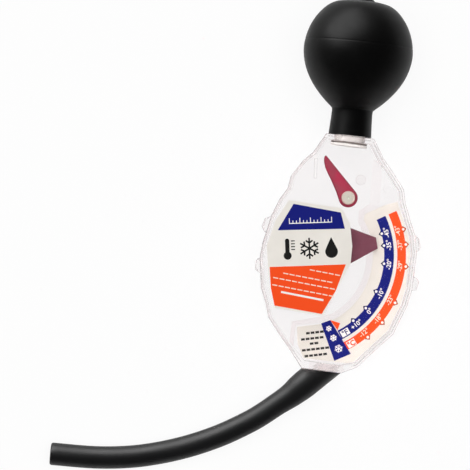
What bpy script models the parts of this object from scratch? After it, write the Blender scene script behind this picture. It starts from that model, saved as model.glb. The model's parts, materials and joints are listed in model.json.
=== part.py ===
"""A dial coolant tester lying on its back: a rubber squeeze bulb on a flat clear housing, inside which a
float pointer swings over a scale and a needle shows the filling level, and a rubber suction hose.

The tester is drawn in its own plane, in millimetres: x across, y along from the hose end to the bulb,
z out of the dial towards the reader. One empty, tester_frame, lays that plane on the floor.
"""

import math

import bmesh
import bpy
from mathutils import Vector

MM = 0.001

# Gap left between two pieces that touch
PIECE_GAP = 0.3

# Housing
HALF_DEPTH = 11.0
WALL = 2.0
EDGE_CHAMFER = 1.5
HALF_SEAM = 0.15
TOP_WALL = 2.4
BOTTOM_WALL = 3.5
HOUSING_LENGTH = 107.6
RIGHT_SIDE = [
    (9.0, 0.0), (16.0, 3.6), (20.8, 9.4), (30.4, 20.5), (31.8, 24.7), (35.1, 34.0), (36.4, 41.5),
    (36.5, 58.0), (34.8, 66.2), (31.9, 72.4), (28.6, 80.4), (27.1, 86.4), (21.5, 93.3), (16.3, 99.2),
    (10.9, HOUSING_LENGTH),
]
LEFT_SIDE = [
    (-10.9, HOUSING_LENGTH), (-15.6, 98.6), (-19.8, 94.2), (-24.4, 86.6), (-25.2, 80.8), (-28.2, 75.6),
    (-31.3, 67.0), (-33.6, 54.5), (-34.1, 47.2), (-31.8, 33.8), (-28.9, 27.2), (-26.8, 20.9),
    (-21.4, 14.3), (-15.2, 7.4), (-9.2, 0.0),
]
HOUSING_OUTLINE = RIGHT_SIDE + LEFT_SIDE

# Grip lugs on the housing's edge
LUG_HALF_DEPTH = 8.0
LUG_CHAMFER = 0.8
LUGS = {
    "upper_left": [(-30.4, 67.4), (-33.9, 65.8), (-34.9, 62.0), (-33.4, 59.6), (-31.0, 58.8)],
    "lower_left": [(-32.2, 48.2), (-35.0, 47.0), (-35.8, 45.4), (-35.3, 41.9), (-33.3, 40.7), (-31.0, 40.2)],
    "lower_right": [(34.0, 40.6), (38.4, 41.6), (39.2, 45.6), (37.8, 47.2), (34.0, 48.0)],
    "upper_right": [(34.2, 57.8), (37.4, 59.4), (37.9, 61.2), (36.8, 65.0), (33.6, 67.2)],
}

# Scale card and the raised platform that carries it
CARD_TOP = -3.2
CARD_THICKNESS = 0.4
CARD_EDGE_GAP = 2.4
CARD_INNER_RADIUS = 33.5
PLATFORM_TOP = -3.9
PLATFORM_DRAFT = 3.0
SCALE_BOTTOM_ANGLE = -54.0
SCALE_TOP_ANGLE = 36.0
CARD_TOP_CORNERS = [(25.4, 80.6), (19.9, 78.5), (11.3, 73.3)]
CARD_END_CORNERS = [(-2.5, 20.8), (-13.3, 18.2), (-12.0, 10.4), (-8.6, 4.4), (11.4, 4.4)]
PLATFORM_HEAD_TOP = [(17.4, 95.9), (16.6, 95.9), (17.7, 77.3), (11.3, 73.3)]
PLATFORM_FOOT_TOP = [(14.9, 98.7), (11.8, 98.7), (12.8, 78.4), (8.4, 74.6)]
PLATFORM_HEAD_END = [(-2.8, 21.3), (-13.8, 18.8), (-13.8, 7.9)]
PLATFORM_FOOT_END = [(-4.0, 24.0), (-16.0, 20.4), (-16.0, 10.2)]

# Float pointer on its axle
FLOAT_PIVOT = (-16.0, 51.0)
FLOAT_REST_ANGLE = 15.5
FLOAT_LOW = -2.6
FLOAT_HIGH = 0.2
FLOAT_TIP_RADIUS = 35.6
FLOAT_TIP_BELOW = -2.3
FLOAT_TIP_ABOVE = 2.8
FLOAT_SHOULDER = (12.0, 15.9)
FLOAT_DISC_RADIUS = 14.5
FLOAT_HUB_RADIUS = 3.2
FLOAT_HUB_PROUD = 0.25
AXLE_RADIUS = 1.0
RUNNING_CLEARANCE = 0.1
AXLE_HALF_LENGTH = 7.8
BOSS_RADIUS = 3.0
BOSS_GAP = 0.35
BALLAST_PLACE = (-8.5, -4.5)
BALLAST_RADIUS = 2.4
BALLAST_THICKNESS = 2.0

# Level needle, its pin and cap
NEEDLE_PIVOT = (2.6, 79.6)
NEEDLE_REST_ANGLE = 125.5
NEEDLE_LENGTH = 21.9
NEEDLE_END_RADIUS = 4.35
NEEDLE_TIP_RADIUS = 0.5
NEEDLE_BACK_EDGE = [(21.2, 0.95), (20.0, 1.7), (17.3, 2.55), (14.3, 2.85), (11.1, 2.95), (5.3, 3.45)]
NEEDLE_BACK_START = 75.0
NEEDLE_TIP_TURN = 50.0
NEEDLE_LOW = 2.0
NEEDLE_HIGH = 3.8
PIN_RADIUS = 0.9
PIN_BOTTOM = -7.0
PIN_TOP = 5.0
CAP_RADIUS = 3.1
CAP_HEIGHT = 1.5
CAP_CHAMFER = 0.4
CAP_DIMPLE_RADIUS = 0.9
CAP_DIMPLE_DEPTH = 0.35

# Small features moulded on the back shell's floor
LEVEL_RING_PLACE = (1.1, 92.3)
LEVEL_RING_RADIUS = 4.5
LEVEL_RING_WIDTH = 0.7
LEVEL_RING_HEIGHT = 0.8
LOCATING_BOSS_PLACE = (20.6, 86.0)
LOCATING_BOSS_RADIUS = 2.2
LOCATING_BOSS_HEIGHT = 2.4
LOCATING_HOLE_RADIUS = 1.2
STOP_RIB = [(-14.7, 95.6), (-13.9, 86.8), (-12.7, 86.9), (-13.5, 95.7)]
STOP_RIB_TOP = 4.5

# Label on the front shell's face
LABEL_THICKNESS = 0.3
LABEL_RECESS = 0.6
LABEL_CORNERS = [
    (7.1, 50.2), (6.9, 58.0), (4.6, 68.1), (0.1, 74.5), (-24.2, 75.3), (-29.1, 65.5), (-31.7, 53.4),
    (-29.5, 41.5), (-24.5, 25.8), (-2.4, 25.0),
]

# Bulb, and the spigot and gasket in its neck
BULB_NECK_RADIUS = 9.4
BULB_WALL = 2.5
BULB_LEAN = 1.25
BULB_HEIGHT = 146.0
BULB_RADIUS = 25.0
BULB_PROFILE = [
    (12.9, 168.5), (16.6, 166.0), (20.1, 162.0), (22.4, 158.0), (23.9, 154.0), (24.75, 150.0),
    (BULB_RADIUS, BULB_HEIGHT), (24.5, 142.0), (23.4, 138.0), (21.6, 134.0), (19.1, 130.0),
    (15.8, 126.0), (12.4, 122.6), (10.2, 120.6), (9.6, 119.2), (BULB_NECK_RADIUS, 114.0),
]
BULB_SHOULDER = (9.0, 169.6)
BULB_TOP = 170.0
BULB_BUTTON_RADIUS = 5.6
BULB_BUTTON_HEIGHT = 0.9
BULB_BUTTON_CHAMFER = 0.8
BULB_ROOF = [(9.5, 166.7), (14.2, 164.4)]
BULB_ROOM_LOW = 122.0
BULB_ROOM_HIGH = 164.0
NECK_SOCKET_TOP = 121.0
SPIGOT_RADIUS = 6.9
SPIGOT_BORE_RADIUS = 5.0
SPIGOT_TOP = 119.5
SPIGOT_FLANGE_RADIUS = 8.3
SPIGOT_FLANGE_THICKNESS = 1.0
SPIGOT_TIP_TAPER = (0.5, 1.0)
GASKET_THICKNESS = 0.6

# Inlet nipple, the hose's stretched cuff and the free hose
NIPPLE_ANGLE = 44.0
NIPPLE_CENTRE = 0.3
NIPPLE_RADIUS = 4.0
NIPPLE_BORE_RADIUS = 2.6
NIPPLE_LENGTH = 11.5
NIPPLE_BARB_RADIUS = 4.6
NIPPLE_BARB_LENGTH = 2.9
NIPPLE_LEAD = 0.4
BORE_START = -9.0
CUFF_RADIUS = 6.5
CUFF_BORE_RADIUS = 4.95
CUFF_SOCKET = 12.0
CUFF_TAPER = [(5.8, 17.5), (6.35, 14.5)]
CUFF_END_RADIUS = 5.4
CUFF_LENGTH = 20.0
HOSE_RADIUS = 5.15
HOSE_BORE_RADIUS = 3.0
HOSE_STRAIGHT = 6.0
HOSE_POINT_SPACING = 20.0
HOSE_CURVE_STEPS = 20
HOSE_ROUTE = [
    # across and along the tester, then the height of the hose's centre above the floor
    (-22.4, -22.0, 8.9), (-30.6, -28.2, 8.2), (-42.1, -35.2, 7.0), (-55.2, -41.7, 5.85),
    (-68.5, -46.6, 5.25), (-82.0, -50.1, 5.15), (-98.0, -52.3, 5.15), (-118.2, -53.1, 5.15),
]

# Where the tester lies: on the bulb's underside and the housing's lower back edge, box centred on the origin
FRAME_ACROSS = -1.7
FRAME_ALONG = -79.91
REST_TILT = math.atan((BULB_RADIUS - HALF_DEPTH) / (BULB_HEIGHT - EDGE_CHAMFER))
REST_HEIGHT = HALF_DEPTH * math.cos(REST_TILT) - EDGE_CHAMFER * math.sin(REST_TILT)

# How finely round shapes are drawn, and how far one shape runs into another where they are joined or cut
ROUND_SEGMENTS = 48
SMALL_SEGMENTS = 32
ARC_POINTS = 16
JOIN_DEPTH = 0.5
CUT_PAST = 1.0
TRIM_SIZE = 30.0
MERGE = 1e-6


def clear_scene():
    for obj in list(bpy.data.objects):
        bpy.data.objects.remove(obj, do_unlink=True)


def new_collection(name):
    collection = bpy.data.collections.new(name)
    bpy.context.scene.collection.children.link(collection)
    return collection


def add_object(name, mesh, as_tool=False):
    """Puts a mesh in the tester's frame, as a part or as a shape that cuts or joins one."""
    obj = bpy.data.objects.new(name, mesh)
    (tools if as_tool else parts).objects.link(obj)
    obj.parent = frame
    obj.hide_render = as_tool
    if as_tool:
        obj.display_type = "WIRE"
    return obj


def place(obj, across, along, out=0.0, turn=0.0):
    obj.location = (across * MM, along * MM, out * MM)
    obj.rotation_euler.z = math.radians(turn)
    return obj


def stand_along(obj, across, along, turn=0.0):
    """Lays an object's own Z axis in the tester's plane: along it, then turned about the plane's normal."""
    obj.location = (across * MM, along * MM, 0)
    obj.rotation_euler = (math.radians(-90), 0, math.radians(turn))
    return obj


def finish(obj, name, colour, roughness, metallic=0.0, transmission=0.0):
    material = bpy.data.materials.new(name)
    material.use_nodes = True
    shader = material.node_tree.nodes["Principled BSDF"]
    shader.inputs["Base Color"].default_value = (*colour, 1.0)
    shader.inputs["Roughness"].default_value = roughness
    shader.inputs["Metallic"].default_value = metallic
    shader.inputs["Transmission Weight"].default_value = transmission
    material.diffuse_color = (*colour, 1.0)
    obj.data.materials.append(material)
    return obj


def arc(centre, radius, start, end, count):
    """Points on a circle, from one angle to another, both ends included."""
    steps = [math.radians(start + (end - start) * i / (count - 1)) for i in range(count)]
    return [(centre[0] + radius * math.cos(a), centre[1] + radius * math.sin(a)) for a in steps]


def inset(outline, distance):
    """The outline, drawn anticlockwise, moved inwards by a distance on every side."""
    moved = []
    for i, (x, y) in enumerate(outline):
        before = (Vector((x, y)) - Vector(outline[i - 1])).normalized()
        after = (Vector(outline[(i + 1) % len(outline)]) - Vector((x, y))).normalized()
        inwards = Vector((-before.y - after.y, before.x + after.x)).normalized()
        reach = distance / inwards.dot(Vector((-before.y, before.x)))
        moved.append((x + inwards.x * reach, y + inwards.y * reach))
    return moved


def tidy_mesh(name, bm):
    """One clean closed mesh with its faces outwards."""
    bmesh.ops.remove_doubles(bm, verts=bm.verts, dist=MERGE)
    bmesh.ops.dissolve_limit(bm, angle_limit=0.001, verts=bm.verts, edges=bm.edges)
    bmesh.ops.recalc_face_normals(bm, faces=bm.faces)
    mesh = bpy.data.meshes.new(name)
    bm.to_mesh(mesh)
    bm.free()
    return mesh


def flat_mesh(name, outlines, low, high, chamfer_at=None, chamfer=0.0):
    """A flat piece between two levels: an outer outline and any holes, with one face's rim chamfered."""
    curve = bpy.data.curves.new(name, "CURVE")
    curve.dimensions = "2D"
    curve.fill_mode = "BOTH"
    curve.extrude = (high - low) / 2 * MM
    for outline in outlines:
        spline = curve.splines.new("POLY")
        spline.points.add(len(outline) - 1)
        for point, (x, y) in zip(spline.points, outline):
            point.co = (x * MM, y * MM, 0, 1)
        spline.use_cyclic_u = True
    drawing = bpy.data.objects.new(name, curve)
    bpy.context.scene.collection.objects.link(drawing)
    made = bpy.data.meshes.new_from_object(drawing.evaluated_get(bpy.context.evaluated_depsgraph_get()))
    bm = bmesh.new()
    bm.from_mesh(made)
    bpy.data.objects.remove(drawing, do_unlink=True)
    bpy.data.curves.remove(curve)
    bpy.data.meshes.remove(made)
    bmesh.ops.translate(bm, verts=bm.verts, vec=(0, 0, (low + high) / 2 * MM))
    if chamfer_at is not None:
        bmesh.ops.remove_doubles(bm, verts=bm.verts, dist=MERGE)
        bmesh.ops.dissolve_limit(bm, angle_limit=0.001, verts=bm.verts, edges=bm.edges)
        level = chamfer_at * MM
        rim = [e for e in bm.edges if all(abs(v.co.z - level) < MERGE for v in e.verts)]
        bmesh.ops.bevel(bm, geom=rim, offset=chamfer * MM, segments=2, profile=0.6, affect="EDGES")
    return tidy_mesh(name, bm)


def drafted_mesh(name, foot, low, head, high):
    """A loft between two outlines of the same number of points, for a wall that leans."""
    bm = bmesh.new()
    lower = [bm.verts.new((x * MM, y * MM, low * MM)) for x, y in foot]
    upper = [bm.verts.new((x * MM, y * MM, high * MM)) for x, y in head]
    bm.faces.new(lower)
    bm.faces.new(upper)
    sides = [bm.faces.new((lower[i - 1], lower[i], upper[i], upper[i - 1])) for i in range(len(foot))]
    bmesh.ops.triangulate(bm, faces=sides)
    return tidy_mesh(name, bm)


def cylinder_mesh(name, radius, low, high, segments=SMALL_SEGMENTS, top_radius=None):
    """A round bar on its own Z axis, or a cone where the top radius differs."""
    bm = bmesh.new()
    upper = radius if top_radius is None else top_radius
    bmesh.ops.create_cone(
        bm, cap_ends=True, segments=segments, radius1=radius * MM, radius2=upper * MM, depth=(high - low) * MM
    )
    bmesh.ops.translate(bm, verts=bm.verts, vec=(0, 0, (low + high) / 2 * MM))
    return tidy_mesh(name, bm)


def turned_mesh(name, profile, closed):
    """The edge that a Screw modifier turns: radius and height, down the outer side first."""
    mesh = bpy.data.meshes.new(name)
    points = [(radius * MM, 0, height * MM) for radius, height in profile]
    edges = [(i, i + 1) for i in range(len(points) - 1)]
    if closed:
        edges.append((len(points) - 1, 0))
    mesh.from_pydata(points, edges, [])
    return mesh


def turn(obj, segments=ROUND_SEGMENTS, smooth=False):
    screw = obj.modifiers.new("turned", "SCREW")
    screw.steps = segments
    screw.render_steps = segments
    screw.use_merge_vertices = True
    screw.merge_threshold = MERGE
    screw.use_smooth_shade = smooth
    return obj


def combine(obj, tool, operation):
    modifier = obj.modifiers.new(tool.name, "BOOLEAN")
    modifier.operation = operation
    modifier.object = tool


def cut(obj, *cutters):
    for cutter in cutters:
        combine(obj, cutter, "DIFFERENCE")


def join(obj, *additions):
    for addition in additions:
        combine(obj, addition, "UNION")


def round_tool(name, centre, radius, low, high, segments=SMALL_SEGMENTS):
    """A round boss or hole square to the dial."""
    return place(add_object(name, cylinder_mesh(name, radius, low, high, segments), True), *centre)


def neck_tool(name, radius, low, high):
    """A round boss or hole on the tester's long axis."""
    return stand_along(add_object(name, cylinder_mesh(name, radius, low, high, ROUND_SEGMENTS), True), 0, 0)


def nipple_tool(name, radius, low, high):
    """A round boss or hole on the inlet nipple's axis, measured outwards from the housing's bottom face."""
    tool = add_object(name, cylinder_mesh(name, radius, low, high, ROUND_SEGMENTS), True)
    return stand_along(tool, NIPPLE_CENTRE, 0, 180 - NIPPLE_ANGLE)


def trim_tool(name, low):
    """A block that cuts off whatever of the nipple or the cuff reaches past a line along the housing."""
    high = low + TRIM_SIZE
    outline = [(-TRIM_SIZE, low), (TRIM_SIZE, low), (TRIM_SIZE, high), (-TRIM_SIZE, high)]
    return add_object(name, flat_mesh(name, [outline], -TRIM_SIZE, TRIM_SIZE), True)


def chamber_outline():
    """The inside of the housing's wall, with its thicker top and bottom ends."""
    low, high = BOTTOM_WALL, HOUSING_LENGTH - TOP_WALL
    return [(x, min(max(y, low), high)) for x, y in inset(HOUSING_OUTLINE, WALL)]


def clear_shell(name, outer, inner):
    """One half of the housing: an outline with a rounded rim, its lugs, and the chamber cut out of it."""
    low, high = sorted((outer, inner))
    shell = add_object(name, flat_mesh(name, [HOUSING_OUTLINE], low, high, outer, EDGE_CHAMFER))
    lug_end = math.copysign(LUG_HALF_DEPTH, outer)
    for lug, outline in LUGS.items():
        tool_name = f"{name}_{lug}_lug"
        lug_low, lug_high = sorted((inner, lug_end))
        lug_mesh = flat_mesh(tool_name, [outline], lug_low, lug_high, lug_end, LUG_CHAMFER)
        join(shell, add_object(tool_name, lug_mesh, True))
    return shell


def make_front_shell():
    shell = clear_shell("front_shell", HALF_DEPTH, HALF_SEAM)
    inner_face = HALF_DEPTH - WALL
    chamber = flat_mesh("front_chamber", [chamber_outline()], -CUT_PAST, inner_face)
    cut(shell, add_object("front_chamber", chamber, True))
    boss_end = FLOAT_HIGH + FLOAT_HUB_PROUD + BOSS_GAP
    join(shell, round_tool("front_axle_boss", FLOAT_PIVOT, BOSS_RADIUS, boss_end, inner_face + JOIN_DEPTH))
    hole_radius = AXLE_RADIUS + RUNNING_CLEARANCE
    hole_end = AXLE_HALF_LENGTH + PIECE_GAP
    cut(shell, round_tool("front_axle_hole", FLOAT_PIVOT, hole_radius, -CUT_PAST, hole_end))
    recess_low, recess_high = HALF_DEPTH - LABEL_RECESS, HALF_DEPTH + CUT_PAST
    recess = flat_mesh("label_recess", [inset(LABEL_CORNERS, -PIECE_GAP)], recess_low, recess_high)
    cut(shell, add_object("label_recess", recess, True))
    cut(shell, neck_bore, nipple_bore)
    finish(shell, "clear_plastic_front", (0.95, 0.95, 0.95), 0.05, transmission=1.0)


def platform_outlines():
    """The platform's foot on the floor of the shell, and its top under the card, point for point."""
    edge = inset(HOUSING_OUTLINE, WALL / 2)
    outer = [edge[-1]] + edge[:len(RIGHT_SIDE) - 2]
    head_arc = arc(FLOAT_PIVOT, CARD_INNER_RADIUS, SCALE_TOP_ANGLE, SCALE_BOTTOM_ANGLE, ARC_POINTS)
    foot_radius = CARD_INNER_RADIUS - PLATFORM_DRAFT
    foot_arc = arc(FLOAT_PIVOT, foot_radius, SCALE_TOP_ANGLE, SCALE_BOTTOM_ANGLE, ARC_POINTS)
    head = outer + PLATFORM_HEAD_TOP + head_arc + PLATFORM_HEAD_END
    foot = outer + PLATFORM_FOOT_TOP + foot_arc + PLATFORM_FOOT_END
    return foot, head


def make_back_shell():
    shell = clear_shell("back_shell", -HALF_DEPTH, -HALF_SEAM)
    floor = WALL - HALF_DEPTH
    root = floor - JOIN_DEPTH
    chamber = flat_mesh("back_chamber", [chamber_outline()], floor, CUT_PAST)
    cut(shell, add_object("back_chamber", chamber, True))
    foot, head = platform_outlines()
    platform = drafted_mesh("scale_platform", foot, root, head, PLATFORM_TOP)
    join(shell, add_object("scale_platform", platform, True))
    boss_end = FLOAT_LOW - FLOAT_HUB_PROUD - BOSS_GAP
    needle_boss_end = NEEDLE_LOW - BOSS_GAP
    locating_low, locating_high = PLATFORM_TOP - JOIN_DEPTH, PLATFORM_TOP + LOCATING_BOSS_HEIGHT
    ring_high = floor + LEVEL_RING_HEIGHT
    rib = flat_mesh("needle_stop_rib", [STOP_RIB], root, STOP_RIB_TOP)
    join(
        shell,
        round_tool("back_axle_boss", FLOAT_PIVOT, BOSS_RADIUS, root, boss_end),
        round_tool("needle_boss", NEEDLE_PIVOT, BOSS_RADIUS, root, needle_boss_end),
        round_tool("locating_boss", LOCATING_BOSS_PLACE, LOCATING_BOSS_RADIUS, locating_low, locating_high),
        round_tool("level_ring", LEVEL_RING_PLACE, LEVEL_RING_RADIUS, root, ring_high),
        add_object("needle_stop_rib", rib, True),
    )
    axle_hole = AXLE_RADIUS + RUNNING_CLEARANCE
    pin_hole = PIN_RADIUS + RUNNING_CLEARANCE
    ring_inside = LEVEL_RING_RADIUS - LEVEL_RING_WIDTH
    cut(
        shell,
        round_tool("back_axle_hole", FLOAT_PIVOT, axle_hole, -AXLE_HALF_LENGTH - PIECE_GAP, CUT_PAST),
        round_tool("needle_pin_hole", NEEDLE_PIVOT, pin_hole, PIN_BOTTOM - PIECE_GAP, NEEDLE_HIGH),
        round_tool("locating_hole", LOCATING_BOSS_PLACE, LOCATING_HOLE_RADIUS, PLATFORM_TOP, locating_high),
        round_tool("level_ring_inside", LEVEL_RING_PLACE, ring_inside, floor, ring_high + CUT_PAST),
        neck_bore,
        nipple_bore,
    )
    finish(shell, "clear_plastic_back", (0.95, 0.95, 0.95), 0.05, transmission=1.0)


def card_outline():
    """The scale card: round the float's swing, up to the housing's wall, and down over the note panel."""
    wall_side = inset(HOUSING_OUTLINE, CARD_EDGE_GAP)[1:10]
    inner_arc = arc(FLOAT_PIVOT, CARD_INNER_RADIUS, SCALE_TOP_ANGLE, SCALE_BOTTOM_ANGLE, ARC_POINTS)
    return wall_side + CARD_TOP_CORNERS + inner_arc + CARD_END_CORNERS


def make_scale_card():
    card = flat_mesh("scale_card", [card_outline()], CARD_TOP - CARD_THICKNESS, CARD_TOP)
    finish(add_object("scale_card", card), "printed_card", (0.78, 0.75, 0.70), 0.5)


def make_front_label():
    low = HALF_DEPTH - LABEL_THICKNESS
    label = flat_mesh("front_label", [LABEL_CORNERS], low, HALF_DEPTH)
    finish(add_object("front_label", label), "printed_label", (0.78, 0.75, 0.70), 0.5)


def touch_angle(point, side):
    """Where, round the float's disc, a line from a point outside it touches the disc on one side."""
    to_point = math.atan2(point[1], point[0])
    return math.degrees(to_point + side * math.acos(FLOAT_DISC_RADIUS / math.hypot(*point)))


def float_outline():
    """A disc drawn out to a blunt tip: straight from the disc below, and over a shoulder above."""
    tip = [(FLOAT_TIP_RADIUS, FLOAT_TIP_BELOW), (FLOAT_TIP_RADIUS, FLOAT_TIP_ABOVE)]
    disc_start = touch_angle(FLOAT_SHOULDER, 1)
    disc_end = 360 + touch_angle(tip[0], -1)
    return tip + [FLOAT_SHOULDER] + arc((0, 0), FLOAT_DISC_RADIUS, disc_start, disc_end, 15)


def make_float():
    bore = AXLE_RADIUS + RUNNING_CLEARANCE
    body = flat_mesh("float_pointer", [float_outline()], FLOAT_LOW, FLOAT_HIGH)
    pointer = place(add_object("float_pointer", body), *FLOAT_PIVOT, turn=FLOAT_REST_ANGLE)
    hub_low, hub_high = FLOAT_LOW - FLOAT_HUB_PROUD, FLOAT_HIGH + FLOAT_HUB_PROUD
    join(pointer, round_tool("float_hub", FLOAT_PIVOT, FLOAT_HUB_RADIUS, hub_low, hub_high))
    cut(pointer, round_tool("float_bore", FLOAT_PIVOT, bore, hub_low - CUT_PAST, hub_high + CUT_PAST))
    finish(pointer, "maroon_plastic", (0.16, 0.03, 0.05), 0.25)

    pocket_low, pocket_high = FLOAT_LOW - CUT_PAST, FLOAT_HIGH + CUT_PAST
    pocket_mesh = cylinder_mesh("ballast_pocket", BALLAST_RADIUS + PIECE_GAP, pocket_low, pocket_high)
    pocket = add_object("ballast_pocket", pocket_mesh, True)
    slug_low = (FLOAT_LOW + FLOAT_HIGH - BALLAST_THICKNESS) / 2
    slug_mesh = cylinder_mesh("float_ballast", BALLAST_RADIUS, slug_low, slug_low + BALLAST_THICKNESS)
    slug = add_object("float_ballast", slug_mesh)
    for obj in (pocket, slug):
        obj.parent = pointer
        obj.location = (BALLAST_PLACE[0] * MM, BALLAST_PLACE[1] * MM, 0)
    cut(pointer, pocket)
    finish(slug, "brass", (0.78, 0.57, 0.28), 0.3, metallic=1.0)

    axle_mesh = cylinder_mesh("float_axle", AXLE_RADIUS, -AXLE_HALF_LENGTH, AXLE_HALF_LENGTH)
    axle = place(add_object("float_axle", axle_mesh), *FLOAT_PIVOT)
    finish(axle, "steel", (0.6, 0.6, 0.6), 0.25, metallic=1.0)


def needle_outline():
    """A round end on the pivot, drawn out to a blade with one straight edge and a curved back."""
    tip_centre = NEEDLE_LENGTH - NEEDLE_TIP_RADIUS
    lean = math.degrees(math.acos((NEEDLE_END_RADIUS - NEEDLE_TIP_RADIUS) / tip_centre))
    round_end = arc((0, 0), NEEDLE_END_RADIUS, NEEDLE_BACK_START, 360 - lean, 21)
    tip = arc((tip_centre, 0), NEEDLE_TIP_RADIUS, -lean, NEEDLE_TIP_TURN, 5)
    return round_end + tip + NEEDLE_BACK_EDGE


def make_needle():
    body = flat_mesh("level_needle", [needle_outline()], NEEDLE_LOW, NEEDLE_HIGH)
    needle = place(add_object("level_needle", body), *NEEDLE_PIVOT, turn=NEEDLE_REST_ANGLE)
    bore = PIN_RADIUS + RUNNING_CLEARANCE
    cut(needle, round_tool("needle_bore", NEEDLE_PIVOT, bore, NEEDLE_LOW - CUT_PAST, NEEDLE_HIGH + CUT_PAST))
    finish(needle, "crimson_plastic", (0.42, 0.03, 0.07), 0.25)

    pin_mesh = cylinder_mesh("needle_pin", PIN_RADIUS, PIN_BOTTOM, PIN_TOP)
    pin = place(add_object("needle_pin", pin_mesh), *NEEDLE_PIVOT)
    finish(pin, "steel_pin", (0.6, 0.6, 0.6), 0.25, metallic=1.0)

    low = NEEDLE_HIGH + PIECE_GAP
    high = low + CAP_HEIGHT
    socket = PIN_RADIUS + RUNNING_CLEARANCE
    socket_end = PIN_TOP + PIECE_GAP / 2
    profile = [
        (0.0, high - CAP_DIMPLE_DEPTH), (CAP_DIMPLE_RADIUS, high), (CAP_RADIUS - CAP_CHAMFER, high),
        (CAP_RADIUS, high - CAP_CHAMFER), (CAP_RADIUS, low), (socket, low),
        (socket, socket_end), (0.0, socket_end),
    ]
    cap = turn(add_object("needle_cap", turned_mesh("needle_cap", profile, False)), SMALL_SEGMENTS)
    finish(place(cap, *NEEDLE_PIVOT), "natural_nylon", (0.72, 0.70, 0.64), 0.45)


def bulb_profile():
    """Down the outside from the button on top to the mouth, and back up inside, one wall in."""
    mouth = HOUSING_LENGTH + PIECE_GAP
    button_top = BULB_TOP + BULB_BUTTON_HEIGHT
    button_face = BULB_BUTTON_RADIUS - BULB_BUTTON_CHAMFER
    outside = [
        (0.0, button_top), (button_face, button_top), (BULB_BUTTON_RADIUS, BULB_TOP),
        BULB_SHOULDER, *BULB_PROFILE, (BULB_NECK_RADIUS, mouth),
    ]
    bore = SPIGOT_RADIUS + 2 * PIECE_GAP
    walls = [(radius - BULB_WALL, height) for radius, height in BULB_PROFILE]
    room = [point for point in walls if BULB_ROOM_LOW < point[1] < BULB_ROOM_HIGH]
    inside = [(0.0, BULB_TOP - BULB_WALL), *BULB_ROOF, *room, (bore, NECK_SOCKET_TOP), (bore, mouth)]
    return outside + inside[::-1]


def make_bulb():
    """The bulb leans from the housing's top face, so its profile is measured from there."""
    profile = [(radius, height - HOUSING_LENGTH) for radius, height in bulb_profile()]
    bulb = turn(add_object("squeeze_bulb", turned_mesh("squeeze_bulb", profile, False)), smooth=True)
    stand_along(bulb, 0, HOUSING_LENGTH, BULB_LEAN)
    finish(bulb, "black_rubber_bulb", (0.012, 0.012, 0.013), 0.5)


def make_spigot():
    gasket_high = HOUSING_LENGTH - TOP_WALL - PIECE_GAP
    gasket_low = gasket_high - GASKET_THICKNESS
    flange_high = gasket_low - PIECE_GAP
    flange_low = flange_high - SPIGOT_FLANGE_THICKNESS
    taper_in, taper_down = SPIGOT_TIP_TAPER
    tube = [
        (SPIGOT_RADIUS - taper_in, SPIGOT_TOP), (SPIGOT_RADIUS, SPIGOT_TOP - taper_down),
        (SPIGOT_RADIUS, flange_high),
        (SPIGOT_FLANGE_RADIUS, flange_high), (SPIGOT_FLANGE_RADIUS, flange_low),
        (SPIGOT_BORE_RADIUS, flange_low), (SPIGOT_BORE_RADIUS, SPIGOT_TOP),
    ]
    spigot = turn(add_object("neck_spigot", turned_mesh("neck_spigot", tube, True)))
    finish(stand_along(spigot, 0, 0), "natural_nylon_spigot", (0.90, 0.89, 0.86), 0.4)
    inside = SPIGOT_RADIUS + PIECE_GAP
    ring = [
        (SPIGOT_FLANGE_RADIUS, gasket_high), (SPIGOT_FLANGE_RADIUS, gasket_low),
        (inside, gasket_low), (inside, gasket_high),
    ]
    gasket = turn(add_object("neck_gasket", turned_mesh("neck_gasket", ring, True)))
    finish(stand_along(gasket, 0, 0), "gasket_rubber", (0.03, 0.03, 0.03), 0.6)


def make_nipple_and_cuff():
    barb_low = NIPPLE_LENGTH - NIPPLE_BARB_LENGTH
    nipple_profile = [
        (NIPPLE_BORE_RADIUS, BORE_START), (NIPPLE_BORE_RADIUS, NIPPLE_LENGTH),
        (NIPPLE_RADIUS - NIPPLE_LEAD, NIPPLE_LENGTH), (NIPPLE_BARB_RADIUS, barb_low),
        (NIPPLE_RADIUS, barb_low), (NIPPLE_RADIUS, BORE_START),
    ]
    nipple = turn(add_object("inlet_nipple", turned_mesh("inlet_nipple", nipple_profile, True)))
    stand_along(nipple, NIPPLE_CENTRE, 0, 180 - NIPPLE_ANGLE)
    cut(nipple, trim_tool("nipple_trim", BOTTOM_WALL - PIECE_GAP))
    finish(nipple, "clear_plastic_nipple", (0.95, 0.95, 0.95), 0.05, transmission=1.0)

    cuff_profile = [
        (CUFF_BORE_RADIUS, BORE_START), (CUFF_BORE_RADIUS, CUFF_SOCKET), (HOSE_BORE_RADIUS, CUFF_SOCKET + 1),
        (HOSE_BORE_RADIUS, CUFF_LENGTH), (CUFF_END_RADIUS, CUFF_LENGTH), *CUFF_TAPER,
        (CUFF_RADIUS, CUFF_SOCKET), (CUFF_RADIUS, BORE_START),
    ]
    cuff = turn(add_object("hose_cuff", turned_mesh("hose_cuff", cuff_profile, True)))
    stand_along(cuff, NIPPLE_CENTRE, 0, 180 - NIPPLE_ANGLE)
    cut(cuff, trim_tool("cuff_trim", -PIECE_GAP))
    finish(cuff, "black_rubber_cuff", (0.02, 0.02, 0.02), 0.5)


def on_floor(across, along, height):
    """A point given across and along the tester, at a height above the floor."""
    tilted_rise = (height - REST_HEIGHT) / math.cos(REST_TILT) - along * math.tan(REST_TILT)
    y = along * math.cos(REST_TILT) - tilted_rise * math.sin(REST_TILT)
    return Vector((across + FRAME_ACROSS, y + FRAME_ALONG, height))


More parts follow.
